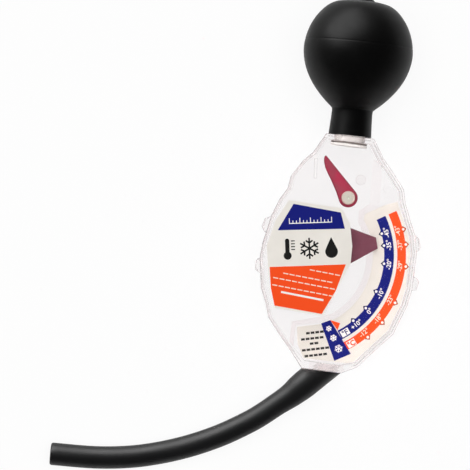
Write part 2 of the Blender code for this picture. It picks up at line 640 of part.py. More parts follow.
def hose_path():
    """The hose's centre line: straight out of the cuff, then a smooth curve through the route."""
    direction = Vector((-math.sin(math.radians(NIPPLE_ANGLE)), -math.cos(math.radians(NIPPLE_ANGLE))))
    straight = []
    for reach in (CUFF_LENGTH + PIECE_GAP, CUFF_LENGTH + HOSE_STRAIGHT):
        across, along = NIPPLE_CENTRE + direction.x * reach, direction.y * reach
        straight.append(on_floor(across, along, REST_HEIGHT + along * math.sin(REST_TILT)))
    route = straight + [on_floor(*point) for point in HOSE_ROUTE]
    ends = [2 * route[0] - route[1]] + route + [2 * route[-1] - route[-2]]
    fine = []
    for before, start, end, after in zip(ends, ends[1:], ends[2:], ends[3:]):
        for step in range(HOSE_CURVE_STEPS):
            t = step / HOSE_CURVE_STEPS
            fine.append(
                0.5 * (2 * start + (end - before) * t + (2 * before - 5 * start + 4 * end - after) * t ** 2
                       + (3 * start - before - 3 * end + after) * t ** 3)
            )
    return fine + [route[-1]]


def spaced(points, spacing):
    """Points along a fine line at an even distance, both ends kept, and the end of its straight start."""
    reached = [0.0]
    for a, b in zip(points, points[1:]):
        reached.append(reached[-1] + (b - a).length)
    count = round(reached[-1] / spacing)
    chosen = [points[0], points[HOSE_CURVE_STEPS]]
    for i in range(1, count):
        chosen.append(next(p for p, r in zip(points, reached) if r >= reached[-1] * i / count))
    return chosen + [points[-1]]


def make_hose():
    curve = bpy.data.curves.new("suction_hose", "CURVE")
    curve.dimensions = "3D"
    curve.bevel_depth = HOSE_RADIUS * MM
    curve.bevel_resolution = 4
    curve.use_fill_caps = True
    points = spaced(hose_path(), HOSE_POINT_SPACING)
    spline = curve.splines.new("POLY")
    spline.points.add(len(points) - 1)
    for point, place_mm in zip(spline.points, points):
        point.co = (*(place_mm * MM), 1)
    hose = bpy.data.objects.new("suction_hose", curve)
    parts.objects.link(hose)
    finish(hose, "black_rubber_hose", (0.02, 0.02, 0.02), 0.5)


clear_scene()
parts = new_collection("antifreeze_tester")
tools = new_collection("cutters")
frame = bpy.data.objects.new("tester_frame", None)
parts.objects.link(frame)
frame.location = (FRAME_ACROSS * MM, FRAME_ALONG * MM, REST_HEIGHT * MM)
frame.rotation_euler.x = REST_TILT

bore_low, bore_high = HOUSING_LENGTH - TOP_WALL - CUT_PAST, HOUSING_LENGTH + CUT_PAST
neck_bore = neck_tool("neck_bore", SPIGOT_RADIUS + PIECE_GAP, bore_low, bore_high)
nipple_bore = nipple_tool("nipple_bore", NIPPLE_RADIUS + PIECE_GAP, BORE_START, -BORE_START)
make_back_shell()
make_scale_card()
make_float()
make_needle()
make_spigot()
make_front_shell()
make_front_label()
make_bulb()
make_nipple_and_cuff()
make_hose()
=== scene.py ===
"""The looks of a dial coolant tester that lies on its back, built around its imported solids.

The tester is drawn in the plane of its dial, in millimetres: x across, y along from the hose end to the bulb,
z out of the dial towards the reader. The matrix called dial lays that plane on the floor, in metres.
"""

import json
import math

import bmesh
import bpy
from mathutils import Matrix, Vector


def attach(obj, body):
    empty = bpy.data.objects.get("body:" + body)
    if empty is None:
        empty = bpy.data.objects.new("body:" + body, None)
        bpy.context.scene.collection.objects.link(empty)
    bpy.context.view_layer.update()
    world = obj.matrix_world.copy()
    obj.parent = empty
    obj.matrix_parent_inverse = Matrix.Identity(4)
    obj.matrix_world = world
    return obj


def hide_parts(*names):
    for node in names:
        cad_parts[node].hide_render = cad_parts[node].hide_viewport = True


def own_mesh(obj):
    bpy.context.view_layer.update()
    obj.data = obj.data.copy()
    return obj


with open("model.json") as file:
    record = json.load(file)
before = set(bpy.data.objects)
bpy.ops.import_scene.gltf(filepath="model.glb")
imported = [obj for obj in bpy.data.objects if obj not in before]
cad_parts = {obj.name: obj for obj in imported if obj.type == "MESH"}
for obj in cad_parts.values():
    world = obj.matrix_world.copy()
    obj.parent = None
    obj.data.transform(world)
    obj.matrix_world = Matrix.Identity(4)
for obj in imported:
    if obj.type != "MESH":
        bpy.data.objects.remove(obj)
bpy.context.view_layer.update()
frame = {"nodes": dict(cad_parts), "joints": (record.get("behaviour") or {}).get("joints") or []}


# The dial's plane
# The float swings about a line square to the dial, so the frame's joint gives the plane's slope and place.
MM = 0.001
FLOAT_PIVOT = (-16.0, 51.0)

float_swing = next(joint for joint in frame["joints"] if joint["name"] == "float_swing")
across_dial = Vector((1, 0, 0))
out_of_dial = Vector(float_swing["axis"]).normalized()
along_dial = out_of_dial.cross(across_dial)
dial = Matrix((across_dial * MM, along_dial * MM, out_of_dial * MM)).transposed().to_4x4()
dial.translation = Vector(float_swing["pos_m"]) - dial.to_3x3() @ Vector((*FLOAT_PIVOT, 0))


# Clear housing halves
# Polystyrene, injection moulded in a polished tool and welded round the edge. Its faces stay clear and
# glossy, with a slight ripple and a few soft scuffs. Seen edge on it looks satin and faintly pink.
STYRENE_IOR = 1.57
STYRENE_FACE = "#fffefe"
STYRENE_EDGE = "#f9cfd4"
STYRENE_SHADE = "#fcfafa"
EDGE_ROUGHNESS = 0.3
EDGE_HAZE = 0.25
EDGE_SEE_THROUGH = 0.7
STYRENE_GLINT = 0.45
TOOL_RIPPLE_MM = 14.0
TOOL_RIPPLE_DEPTH = 0.02
SCUFF_MM = 3.0
SCUFF_ROUGHNESS = (0.01, 0.05)
NOISE_MIDDLE = (0.33, 0.67)  # where most values of a noise lie
HALF_DEPTH = 11.0
SEATS = [
    # the middle of the spigot's seat and of the nipple's, and how far round it each reaches
    ((0.0, 106.4, 0.0), 7.35), ((2.0, 1.75, 0.0), 7.9),
]
SEAT_EDGE = 0.1
SEAT_SEE_THROUGH = 0.92
GATE_PLACE = (7.0, 88.3)
GATE_PROFILE = [
    # radius and height above the front face
    (0.0, 0.1), (1.0, 0.18), (1.6, 0.42), (1.9, 0.46), (2.15, 0.36), (2.3, 0.0), (2.3, -0.02), (0.0, -0.02),
]
GATE_SEGMENTS = 32
MERGE_REACH = 1e-4
SHARP_ANGLE = 40


def linear(colour):
    """A colour written as sRGB hex, as the linear red, green, blue and alpha that a shader takes."""
    parts = [int(colour[i:i + 2], 16) / 255 for i in (1, 3, 5)]
    return [p / 12.92 if p <= 0.04045 else ((p + 0.055) / 1.055) ** 2.4 for p in parts] + [1.0]


def add(tree, kind, sockets, **settings):
    """Adds a node. Each socket, by name or number, is given a value or the output that feeds it."""
    node = tree.nodes.new(kind)
    for name, value in settings.items():
        setattr(node, name, value)
    for name, value in sockets.items():
        if isinstance(value, bpy.types.NodeSocket):
            tree.links.new(value, node.inputs[name])
        else:
            node.inputs[name].default_value = value
    return node


def new_finish(name):
    """A material with nothing in it, and the places on the surface that its patterns are laid out from."""
    material = bpy.data.materials.new(name)
    material.use_nodes = True
    tree = material.node_tree
    tree.nodes.clear()
    places = add(tree, "ShaderNodeTexCoord", {}).outputs["Object"]
    return material, tree, places


def clear_styrene(name, edge_see_through):
    """Clear plastic. Seen along the surface it turns satin and lets part of what lies behind straight on,
    and its side walls look pinkish there. Sealant wets the seats of the spigot and the nipple, so that they
    hardly show.
    """
    material, tree, places = new_finish(name)
    ripple = add(tree, "ShaderNodeTexNoise", {
        "Vector": places, "Scale": 1 / (TOOL_RIPPLE_MM * MM), "Detail": 1.0,
    }).outputs["Fac"]
    wear = add(tree, "ShaderNodeTexNoise", {
        "Vector": places, "Scale": 1 / (SCUFF_MM * MM), "Detail": 3.0,
    }).outputs["Fac"]
    scuffs = add(tree, "ShaderNodeMapRange", {
        "Value": wear, "From Min": NOISE_MIDDLE[0], "From Max": NOISE_MIDDLE[1],
        "To Min": SCUFF_ROUGHNESS[0], "To Max": SCUFF_ROUGHNESS[1],
    }).outputs["Result"]
    facing = add(tree, "ShaderNodeNewGeometry", {}).outputs["True Normal"]
    squareness = add(tree, "ShaderNodeVectorMath", {0: facing, 1: out_of_dial}, operation="DOT_PRODUCT")
    flat = add(tree, "ShaderNodeMath", {0: squareness.outputs["Value"]}, operation="ABSOLUTE").outputs[0]
    upright = add(tree, "ShaderNodeMath", {0: 1.0, 1: flat}, operation="SUBTRACT").outputs[0]
    grazing = add(tree, "ShaderNodeLayerWeight", {"Blend": 0.5}).outputs["Facing"]
    pink = add(tree, "ShaderNodeMath", {0: upright, 1: grazing}, operation="MULTIPLY").outputs[0]
    tint = add(tree, "ShaderNodeMix", {
        0: pink, 6: linear(STYRENE_FACE), 7: linear(STYRENE_EDGE),
    }, data_type="RGBA").outputs[2]
    satin, clearness, see_through = [
        add(tree, "ShaderNodeMath", {0: share, 1: at_edge, 2: face_on}, operation="MULTIPLY_ADD").outputs[0]
        for share, at_edge, face_on in (
            (grazing, EDGE_ROUGHNESS, scuffs), (pink, -EDGE_HAZE, 1.0), (grazing, edge_see_through, 0.0),
        )
    ]
    for seat, reach in SEATS:
        apart = add(tree, "ShaderNodeVectorMath", {0: places, 1: dial @ Vector(seat)}, operation="DISTANCE")
        wetted = add(tree, "ShaderNodeMapRange", {
            "Value": apart.outputs["Value"], "From Min": reach * MM, "From Max": (reach + SEAT_EDGE) * MM,
            "To Min": SEAT_SEE_THROUGH, "To Max": 0.0,
        }).outputs["Result"]
        see_through = add(tree, "ShaderNodeMath", {0: see_through, 1: wetted}, operation="MAXIMUM").outputs[0]
    plastic = add(tree, "ShaderNodeBsdfPrincipled", {
        "Base Color": tint,
        "Roughness": satin,
        "IOR": STYRENE_IOR,
        "Specular Tint": (STYRENE_GLINT, STYRENE_GLINT, STYRENE_GLINT, 1.0),
        "Transmission Weight": clearness,
        "Normal": add(tree, "ShaderNodeBump", {
            "Height": ripple, "Distance": TOOL_RIPPLE_DEPTH * MM,
        }).outputs["Normal"],
    }).outputs[0]
    shade = add(tree, "ShaderNodeBsdfTransparent", {"Color": linear(STYRENE_SHADE)}).outputs[0]
    shadow_ray = add(tree, "ShaderNodeLightPath", {}).outputs["Is Shadow Ray"]
    straight_on = add(tree, "ShaderNodeMath", {0: shadow_ray, 1: see_through}, operation="MAXIMUM").outputs[0]
    mixed = add(tree, "ShaderNodeMixShader", {"Fac": straight_on, 1: plastic, 2: shade}).outputs[0]
    add(tree, "ShaderNodeOutputMaterial", {"Surface": mixed})
    return material


def dress(piece, material):
    """Gives a piece, or a node of the frame, one material."""
    piece.data.materials.clear()
    piece.data.materials.append(material)
    return piece


def turned_piece(name, profile, segments, stand):
    """A closed body turned about its own axis, then stood where it belongs."""
    bm = bmesh.new()
    verts = [bm.verts.new((radius, 0, height)) for radius, height in profile]
    edges = [bm.edges.new(pair) for pair in zip(verts, verts[1:])]
    bmesh.ops.spin(bm, geom=verts + edges, axis=(0, 0, 1), cent=(0, 0, 0), steps=segments, angle=math.tau)
    bmesh.ops.remove_doubles(bm, verts=bm.verts, dist=MERGE_REACH)
    bmesh.ops.recalc_face_normals(bm, faces=bm.faces)
    mesh = bpy.data.meshes.new(name)
    bm.to_mesh(mesh)
    bm.free()
    mesh.transform(dial @ stand)
    mesh.shade_smooth()
    mesh.set_sharp_from_angle(angle=math.radians(SHARP_ANGLE))
    piece = bpy.data.objects.new(name, mesh)
    bpy.context.scene.collection.objects.link(piece)
    return piece


housing_clear = clear_styrene("moulded_clear_styrene", EDGE_SEE_THROUGH)
for half in ("back_shell", "front_shell"):
    dress(frame["nodes"][half], housing_clear)
gate_stand = Matrix.Translation((*GATE_PLACE, HALF_DEPTH))
gate_button = turned_piece("front_gate_button", GATE_PROFILE, GATE_SEGMENTS, gate_stand)
dress(gate_button, housing_clear)
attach(gate_button, "housing")


# Scale card
# A cream plastic card, screen printed with a blue and an orange scale and clipped on a raised step of the
# back shell. The inks are opaque and a little glossier than the card.
CARD_TOP = -3.2
CARD_CREAM = "#ece8df"
CARD_CREAM_SHADE = "#e7e3da"
CARD_GRAIN_MM = 0.6
CARD_GRAIN_DEPTH = 0.015
CARD_MOTTLE_MM = 9.0
CARD_ROUGHNESS = (0.45, 0.6)
INK_THICKNESS = 0.02
INK_SUNK = 0.02
INK_PEEL_MM = 0.4
INK_PEEL_DEPTH = 0.01
INK_ROUGHNESS = (0.4, 0.55)
INK_SHEEN = 0.25
INK_BLACK = "#2c2a29"
INK_BLUE = "#101978"
INK_BLUE_EDGE = "#10123f"
INK_ORANGE = "#ff521e"
INK_ORANGE_EDGE = "#a4502c"
INK_WHITE = "#fbf8f2"
INK_CREAM = "#fbe3cf"
BLUE_BAND = (38.7, 43.15)
ORANGE_BAND = (44.7, 48.65)
BAND_ENDS = (-56.5, 31.6)
BAND_STEPS = 60
DOT_SIDES = 24
# each figure, and its angle round the float's pivot
BLUE_FIGURES = {"-45°": 21.6, "-35°": 13.4, "-20°": 1.1, "-10°": -18.5, "0°": -31.8, "+10°": -43.8}
ORANGE_FIGURES = {"-43°": 21.0, "-37°": 12.7, "-29°": 0.8, "-23°": -19.6, "-18°": -32.3, "-12°": -43.4}
BLUE_FIGURE_RADIUS = 40.95
ORANGE_FIGURE_RADIUS = 46.1
FIGURE_HEIGHT = 2.1
BLUE_FIGURE_WEIGHT = 0.06
ORANGE_FIGURE_WEIGHT = 0.04
MARK_RADII = (38.8, 48.85)
MARK_HALF = 0.95
MARK_LINE = 0.58
MARK_DOT_RADIUS = 0.6
UNIT_ANGLE = -52.7
UNIT_SIZE = (4.1, 3.0)
UNIT_RADII = (41.1, 46.85)
UNIT_HEIGHT = 2.4
UNIT_WEIGHTS = (0.08, 0.13)
FREEZE_BLOCK = [(-2.5, 21.1), (5.6, 4.8), (12.7, 8.9), (1.5, 23.1)]
FREEZE_FLAG = [(1.5, 23.1), (5.4, 18.9), (6.1, 22.3)]
FREEZE_FLAKES = [
    # centre and radius
    ((1.3, 19.2), 1.35), ((3.9, 15.2), 1.6), ((6.9, 10.6), 1.95),
]
FREEZE_STROKE = 0.34
FREEZE_LEAN = -59.0
NOTE_LINES = [
    # start and length
    ((-8.8, 15.7), 7.2), ((-10.7, 12.6), 10.9), ((-6.5, 11.2), 3.8), ((-9.7, 7.7), 11.6), ((-8.2, 5.2), 10.9),
]
NOTE_DASH = (1.75, 0.4, 1.05)  # dash, gap and thickness
NOTE_LEAN = 13.5
LETTER_SHARE = 0.729  # a figure's height, as a share of the font's size
GLYPH_MERGE_REACH = 1e-5
STROKE_LIFT = 0.05  # in layers
BARB_PLACE = 0.52
BARB_LENGTH = 0.4
BARB_ANGLE = 55


def printed(name, level, layers, colour):
    """Prints of one ink on a flat face, as thin closed slabs: each outline comes with the layer it is in."""
    bm = bmesh.new()
    for layer, outline in layers:
        low, high = level - INK_SUNK, level + (layer + 1) * INK_THICKNESS
        lower = [bm.verts.new((x, y, low)) for x, y in outline]
        upper = [bm.verts.new((x, y, high)) for x, y in outline]
        bm.faces.new(lower)
        bm.faces.new(upper)
        for i in range(len(outline)):
            bm.faces.new((lower[i - 1], lower[i], upper[i], upper[i - 1]))
    bmesh.ops.recalc_face_normals(bm, faces=bm.faces)
    return printed_piece(name, bm, colour)


def printed_piece(name, bm, colour):
    mesh = bpy.data.meshes.new(name)
    bm.to_mesh(mesh)
    bm.free()
    mesh.transform(dial)
    piece = bpy.data.objects.new(name, mesh)
    bpy.context.scene.collection.objects.link(piece)
    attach(piece, "housing")
    return dress(piece, ink(f"{name}_ink", colour))


def worked_skin(tree, places, grain_mm, depth_mm, roughness):
    """Settings for a skin with a fine grain, which is duller in places and dented to a depth."""
    grain = add(tree, "ShaderNodeTexNoise", {
        "Vector": places, "Scale": 1 / (grain_mm * MM), "Detail": 3.0,
    }).outputs["Fac"]
    dullness = add(tree, "ShaderNodeMapRange", {
        "Value": grain, "From Min": NOISE_MIDDLE[0], "From Max": NOISE_MIDDLE[1],
        "To Min": roughness[0], "To Max": roughness[1],
    }).outputs["Result"]
    dents = add(tree, "ShaderNodeBump", {"Height": grain, "Distance": depth_mm * MM}).outputs["Normal"]
    return {"Roughness": dullness, "Normal": dents}


def drifting_colour(tree, places, colour, shade, patch_mm):
    """A colour that drifts to a near one and back in soft patches."""
    patches = add(tree, "ShaderNodeTexNoise", {
        "Vector": places, "Scale": 1 / (patch_mm * MM), "Detail": 3.0,
    }).outputs["Fac"]
    share = add(tree, "ShaderNodeMapRange", {
        "Value": patches, "From Min": NOISE_MIDDLE[0], "From Max": NOISE_MIDDLE[1],
    }).outputs["Result"]
    return add(tree, "ShaderNodeMix", {
        0: share, 6: linear(colour), 7: linear(shade),
    }, data_type="RGBA").outputs[2]


def ink(name, colour):
    """Screen ink: flat and opaque, with a slight orange peel."""
    material, tree, places = new_finish(name)
    shader = add(tree, "ShaderNodeBsdfPrincipled", {
        "Base Color": linear(colour),
        "Specular IOR Level": INK_SHEEN,
        **worked_skin(tree, places, INK_PEEL_MM, INK_PEEL_DEPTH, INK_ROUGHNESS),
    })
    add(tree, "ShaderNodeOutputMaterial", {"Surface": shader.outputs[0]})
    return material


def card_stock(name, colour, shade):
    """Calendered plastic sheet: matt, with a fine even tooth and a trace of mottling."""
    material, tree, places = new_finish(name)
    shader = add(tree, "ShaderNodeBsdfPrincipled", {
        "Base Color": drifting_colour(tree, places, colour, shade, CARD_MOTTLE_MM),
        **worked_skin(tree, places, CARD_GRAIN_MM, CARD_GRAIN_DEPTH, CARD_ROUGHNESS),
    })
    add(tree, "ShaderNodeOutputMaterial", {"Surface": shader.outputs[0]})
    return material


def on_circle(centre, radius, angle):
    turn = math.radians(angle)
    return centre[0] + radius * math.cos(turn), centre[1] + radius * math.sin(turn)


def arc(centre, radius, start, end, steps):
    """Points on a circle from one angle to another."""
    return [on_circle(centre, radius, start + (end - start) * i / steps) for i in range(steps + 1)]


def band(radii, ends):
    """A stretch of ring round the float's pivot."""
    inner, outer = [arc(FLOAT_PIVOT, radius, *ends, BAND_STEPS) for radius in radii]
    return inner + outer[::-1]


def dot(centre, radius):
    return arc(centre, radius, 0, 360, DOT_SIDES)[:-1]


def diamond(centre, half, angle):
    return arc(centre, half, angle, angle + 360, 4)[:-1]


def rectangle(centre, size, angle):
    turn = Matrix.Rotation(math.radians(angle), 2)
    corners = [(-1, -1), (1, -1), (1, 1), (-1, 1)]
    moved = [turn @ Vector((x * size[0] / 2, y * size[1] / 2)) for x, y in corners]
    return [(centre[0] + p.x, centre[1] + p.y) for p in moved]


def bar(centre, angle, start, end, width):
    """A straight stroke that leaves a centre at an angle, from one distance to another."""
    middle = on_circle(centre, (start + end) / 2, angle)
    return rectangle(middle, (end - start, width), angle)


def stacked(strokes, layer):
    """Strokes that cross, each a hair higher than the last, so that no two of their faces coincide."""
    return [(layer + STROKE_LIFT * i, stroke) for i, stroke in enumerate(strokes)]


def snowflake(centre, radius, width, lean, layer):
    """Six arms with a pair of barbs on each."""
    strokes = []
    for arm in range(6):
        angle = lean + 30 + 60 * arm
        strokes.append(bar(centre, angle, 0.0, radius, width))
        fork = on_circle(centre, BARB_PLACE * radius, angle)
        for side in (-BARB_ANGLE, BARB_ANGLE):
            strokes.append(bar(fork, angle + side, 0.0, BARB_LENGTH * radius, width))
    return stacked(strokes, layer)


def dashes(start, length, lean, layer, pattern):
    """A line broken in even dashes, in the place of a line of small print."""
    dash, gap, thickness = pattern
    pitch = dash + gap
    count = max(1, round((length + gap) / pitch))
    return [(layer, bar(start, lean, pitch * i, pitch * i + dash, thickness)) for i in range(count)]


def lettering(bm, text, height, centre, angle, low, high, weight):
    """Adds figures, centred on a point, their foot line turned to an angle, from one level to another."""
    curve = bpy.data.curves.new("figures", "FONT")
    curve.body = text
    curve.size = height / LETTER_SHARE
    curve.offset = weight
    curve.extrude = (high - low) / 2
    writing = bpy.data.objects.new("figures", curve)
    bpy.context.scene.collection.objects.link(writing)
    mesh = bpy.data.meshes.new_from_object(writing.evaluated_get(bpy.context.evaluated_depsgraph_get()))
    middle = (min(v.co.x for v in mesh.vertices) + max(v.co.x for v in mesh.vertices)) / 2
    mesh.transform(Matrix.Translation((-middle, -height / 2, 0)))
    mesh.transform(Matrix.Rotation(math.radians(angle), 4, "Z"))
    mesh.transform(Matrix.Translation((*centre, (low + high) / 2)))
    bm.from_mesh(mesh)
    bpy.data.objects.remove(writing)
    bpy.data.curves.remove(curve)
    bpy.data.meshes.remove(mesh)


def figures_piece(name, level, layer, rows, colour, weight):
    """Printed figures of one colour: each row is the text, its height, its centre and its angle."""
    bm = bmesh.new()
    low, high = level - INK_SUNK, level + (layer + 1) * INK_THICKNESS
    for text, height, centre, angle in rows:
        lettering(bm, text, height, centre, angle, low, high, weight)
    bmesh.ops.remove_doubles(bm, verts=bm.verts, dist=GLYPH_MERGE_REACH)
    bmesh.ops.recalc_face_normals(bm, faces=bm.faces)
    return printed_piece(name, bm, colour)


def scale_rows(figures, radius):
    return [
        (text, FIGURE_HEIGHT, on_circle(FLOAT_PIVOT, radius, angle), angle + 90)
        for text, angle in figures.items()
    ]


dress(frame["nodes"]["scale_card"], card_stock("calendered_cream_card", CARD_CREAM, CARD_CREAM_SHADE))
blue_marks = [on_circle(FLOAT_PIVOT, MARK_RADII[0], angle) for angle in BLUE_FIGURES.values()]
orange_marks = [on_circle(FLOAT_PIVOT, MARK_RADII[1], angle) for angle in ORANGE_FIGURES.values()]
blue_turns = list(BLUE_FIGURES.values())
orange_turns = list(ORANGE_FIGURES.values())
unit_places = [on_circle(FLOAT_PIVOT, radius, UNIT_ANGLE) for radius in UNIT_RADII]
unit_turn = UNIT_ANGLE + 90
blue_unit, orange_unit = [
    [(text, UNIT_HEIGHT, place, unit_turn)] for text, place in zip(("°F", "°C"), unit_places)
]
blue_rows = scale_rows(BLUE_FIGURES, BLUE_FIGURE_RADIUS)
orange_rows = scale_rows(ORANGE_FIGURES, ORANGE_FIGURE_RADIUS)

# The layers, from the card up: 0 the marks' outlines, the note and the flag, 1 the bands, 2 the marks, 3 the
# dots, the units' plates and the figures, 4 the units and the block at the card's foot, 5 the flakes on it.
card_prints = [
    printed("card_blue_edges", CARD_TOP, [
        (0, diamond(c, MARK_HALF + MARK_LINE, a)) for c, a in zip(blue_marks, blue_turns)
    ], INK_BLUE_EDGE),
    printed("card_blue", CARD_TOP, [(1, band(BLUE_BAND, BAND_ENDS)), (4, FREEZE_BLOCK)] + [
        (2, diamond(c, MARK_HALF, a)) for c, a in zip(blue_marks, blue_turns)
    ], INK_BLUE),
    printed("card_orange_edges", CARD_TOP, [
        (0, diamond(c, MARK_HALF + MARK_LINE, a)) for c, a in zip(orange_marks, orange_turns)
    ], INK_ORANGE_EDGE),
    printed("card_orange", CARD_TOP, [(1, band(ORANGE_BAND, BAND_ENDS)), (0, FREEZE_FLAG)] + [
        (2, diamond(c, MARK_HALF, a)) for c, a in zip(orange_marks, orange_turns)
    ], INK_ORANGE),
    printed("card_white", CARD_TOP, [
        (3, dot(c, MARK_DOT_RADIUS)) for c in blue_marks + orange_marks
    ] + [(3, rectangle(c, UNIT_SIZE, unit_turn)) for c in unit_places] + [
        stroke for centre, radius in FREEZE_FLAKES
        for stroke in snowflake(centre, radius, FREEZE_STROKE, FREEZE_LEAN, 5)
    ], INK_WHITE),
    figures_piece("card_blue_band_figures", CARD_TOP, 3, blue_rows, INK_WHITE, BLUE_FIGURE_WEIGHT),
    figures_piece("card_orange_band_figures", CARD_TOP, 3, orange_rows, INK_CREAM, ORANGE_FIGURE_WEIGHT),
    figures_piece("card_unit_f", CARD_TOP, 4, blue_unit, INK_BLUE, UNIT_WEIGHTS[0]),
    figures_piece("card_unit_c", CARD_TOP, 4, orange_unit, INK_ORANGE, UNIT_WEIGHTS[1]),
    printed("card_note_lines", CARD_TOP, [
        stroke for start, length in NOTE_LINES
        for stroke in dashes(start, length, NOTE_LEAN, 0, NOTE_DASH)
    ], INK_BLACK),
]


# Float pointer, its weight and its axle
# A maroon moulding that swings over the card. A brass slug in it sets how deep it rides, and it turns on a
# drawn steel wire that is pressed in the housing.
FLOAT_MAROON = "#7c4655"
FLOAT_MAROON_SHADE = "#733f4e"
BRASS = "#d9b268"
STEEL = "#c8c8c6"
FLOW_MM = 6.0
SKIN_MM = 0.5
SKIN_DEPTH = 0.01
SKIN_DULLING = 0.12
METAL_LINE_DEPTH = 0.005
METAL_DULLING = 0.1


def moulded_plastic(name, colour, shade, roughness):
    """Solid moulded plastic: satin, with the colour a little uneven where the melt flowed."""
    material, tree, places = new_finish(name)
    shader = add(tree, "ShaderNodeBsdfPrincipled", {
        "Base Color": drifting_colour(tree, places, colour, shade, FLOW_MM),
        **worked_skin(tree, places, SKIN_MM, SKIN_DEPTH, (roughness, roughness + SKIN_DULLING)),
    })
    add(tree, "ShaderNodeOutputMaterial", {"Surface": shader.outputs[0]})
    return material


def bare_metal(name, colour, roughness, line_mm):
    """Drawn or turned metal: bright, with fine lines left by the die or the tool."""
    material, tree, places = new_finish(name)
    shader = add(tree, "ShaderNodeBsdfPrincipled", {
        "Base Color": linear(colour),
        "Metallic": 1.0,
        **worked_skin(tree, places, line_mm, METAL_LINE_DEPTH, (roughness, roughness + METAL_DULLING)),
    })
    add(tree, "ShaderNodeOutputMaterial", {"Surface": shader.outputs[0]})
    return material


float_plastic = moulded_plastic("moulded_maroon_styrene", FLOAT_MAROON, FLOAT_MAROON_SHADE, roughness=0.35)
dress(frame["nodes"]["float_pointer"], float_plastic)
dress(frame["nodes"]["float_ballast"], bare_metal("turned_brass", BRASS, roughness=0.25, line_mm=0.3))
drawn_steel = bare_metal("drawn_steel_wire", STEEL, roughness=0.2, line_mm=0.2)
dress(frame["nodes"]["float_axle"], drawn_steel)


# Level needle, its pin and its cap
# A flat crimson moulding that floats up when the chamber is full. It turns on a steel pin, under a round
# cap of natural nylon that is pushed on the pin's end.
NEEDLE_PIVOT = (2.6, 79.6)
NEEDLE_ANGLE = 125.5
NEEDLE_LENGTH = 21.9
NEEDLE_TOP = 3.8
NEEDLE_END_RADIUS = 4.35
NEEDLE_TIP_RADIUS = 0.5
NEEDLE_END_START = 75
NEEDLE_END_STEPS = 24
NEEDLE_TIP_END = 50
NEEDLE_TIP_STEPS = 5
NEEDLE_BACK = [(21.2, 0.95), (20.0, 1.7), (17.3, 2.55), (14.3, 2.85), (11.1, 2.95), (5.3, 3.45)]
NEEDLE_RIM_WIDTH = 0.45
NEEDLE_RIM_PROUD = 0.12
NEEDLE_RIM_INSET = 0.03
NEEDLE_RIM_SUNK = 0.02
NEEDLE_CRIMSON = "#93414f"
NEEDLE_CRIMSON_SHADE = "#ac2a48"
# the rim's darker crimson is painted shade along the needle's edge
RIM_PAINTED_SHADE_CRIMSON = "#7d1f38"
RIM_PAINTED_SHADE_CRIMSON_DRIFT = "#8e2440"
CAP_MILKY = "#c6c3b6"
# painted light: the darker green middle is painted shade in the dimple, the pink rim the needle's crimson
# painted in
CAP_PAINTED_TINTS = [
    # a stretch out from the cap's middle, the tint there, and its share at the stretch's start and end
    ((0.3, 1.1), "#a9b8a0", 0.8, 0.0), ((2.3, 3.0), "#d5b7ae", 0.0, 0.7),
]
CAP_ROUGHNESS = (0.4, 0.52)


def needle_edge():
    """The needle's outline in its own axes, its pivot at the centre and its tip along x."""
    tip_reach = NEEDLE_LENGTH - NEEDLE_TIP_RADIUS
    lean = math.degrees(math.acos((NEEDLE_END_RADIUS - NEEDLE_TIP_RADIUS) / tip_reach))
    round_end = arc((0, 0), NEEDLE_END_RADIUS, NEEDLE_END_START, 360 - lean, NEEDLE_END_STEPS)
    tip = arc((tip_reach, 0), NEEDLE_TIP_RADIUS, -lean, NEEDLE_TIP_END, NEEDLE_TIP_STEPS)
    return round_end + tip + NEEDLE_BACK


def drawn_in(outline, distance):
    """A closed outline, drawn anticlockwise, moved inwards by a distance."""
    moved = []
    for i, point in enumerate(outline):
        before = (Vector(point) - Vector(outline[i - 1])).normalized()
        after = (Vector(outline[(i + 1) % len(outline)]) - Vector(point)).normalized()
        inwards = Vector((-before.y - after.y, before.x + after.x)).normalized()
        moved.append(Vector(point) + inwards * distance / inwards.dot(Vector((-before.y, before.x))))
    return moved


def needle_shade_rim():
    """The low rim round the needle's face, a darker crimson as painted shade along the needle's edge."""
    outer = drawn_in(needle_edge(), NEEDLE_RIM_INSET)
    inner = drawn_in(needle_edge(), NEEDLE_RIM_WIDTH)
    low, high = NEEDLE_TOP - NEEDLE_RIM_SUNK, NEEDLE_TOP + NEEDLE_RIM_PROUD
    corners = ((outer, low), (outer, high), (inner, high), (inner, low))
    bm = bmesh.new()
    loops = [[bm.verts.new((*p, z)) for p in outline] for outline, z in corners]
    for here, there in zip(loops, loops[1:] + loops[:1]):
        for i in range(len(outer)):
            bm.faces.new((here[i - 1], here[i], there[i], there[i - 1]))
    bmesh.ops.recalc_face_normals(bm, faces=bm.faces)
    mesh = bpy.data.meshes.new("needle_shade_rim")
    bm.to_mesh(mesh)
    bm.free()
    turn = Matrix.Rotation(math.radians(NEEDLE_ANGLE), 4, "Z")
    mesh.transform(dial @ Matrix.Translation((*NEEDLE_PIVOT, 0)) @ turn)
    piece = bpy.data.objects.new("needle_shade_rim", mesh)
    bpy.context.scene.collection.objects.link(piece)
    return piece


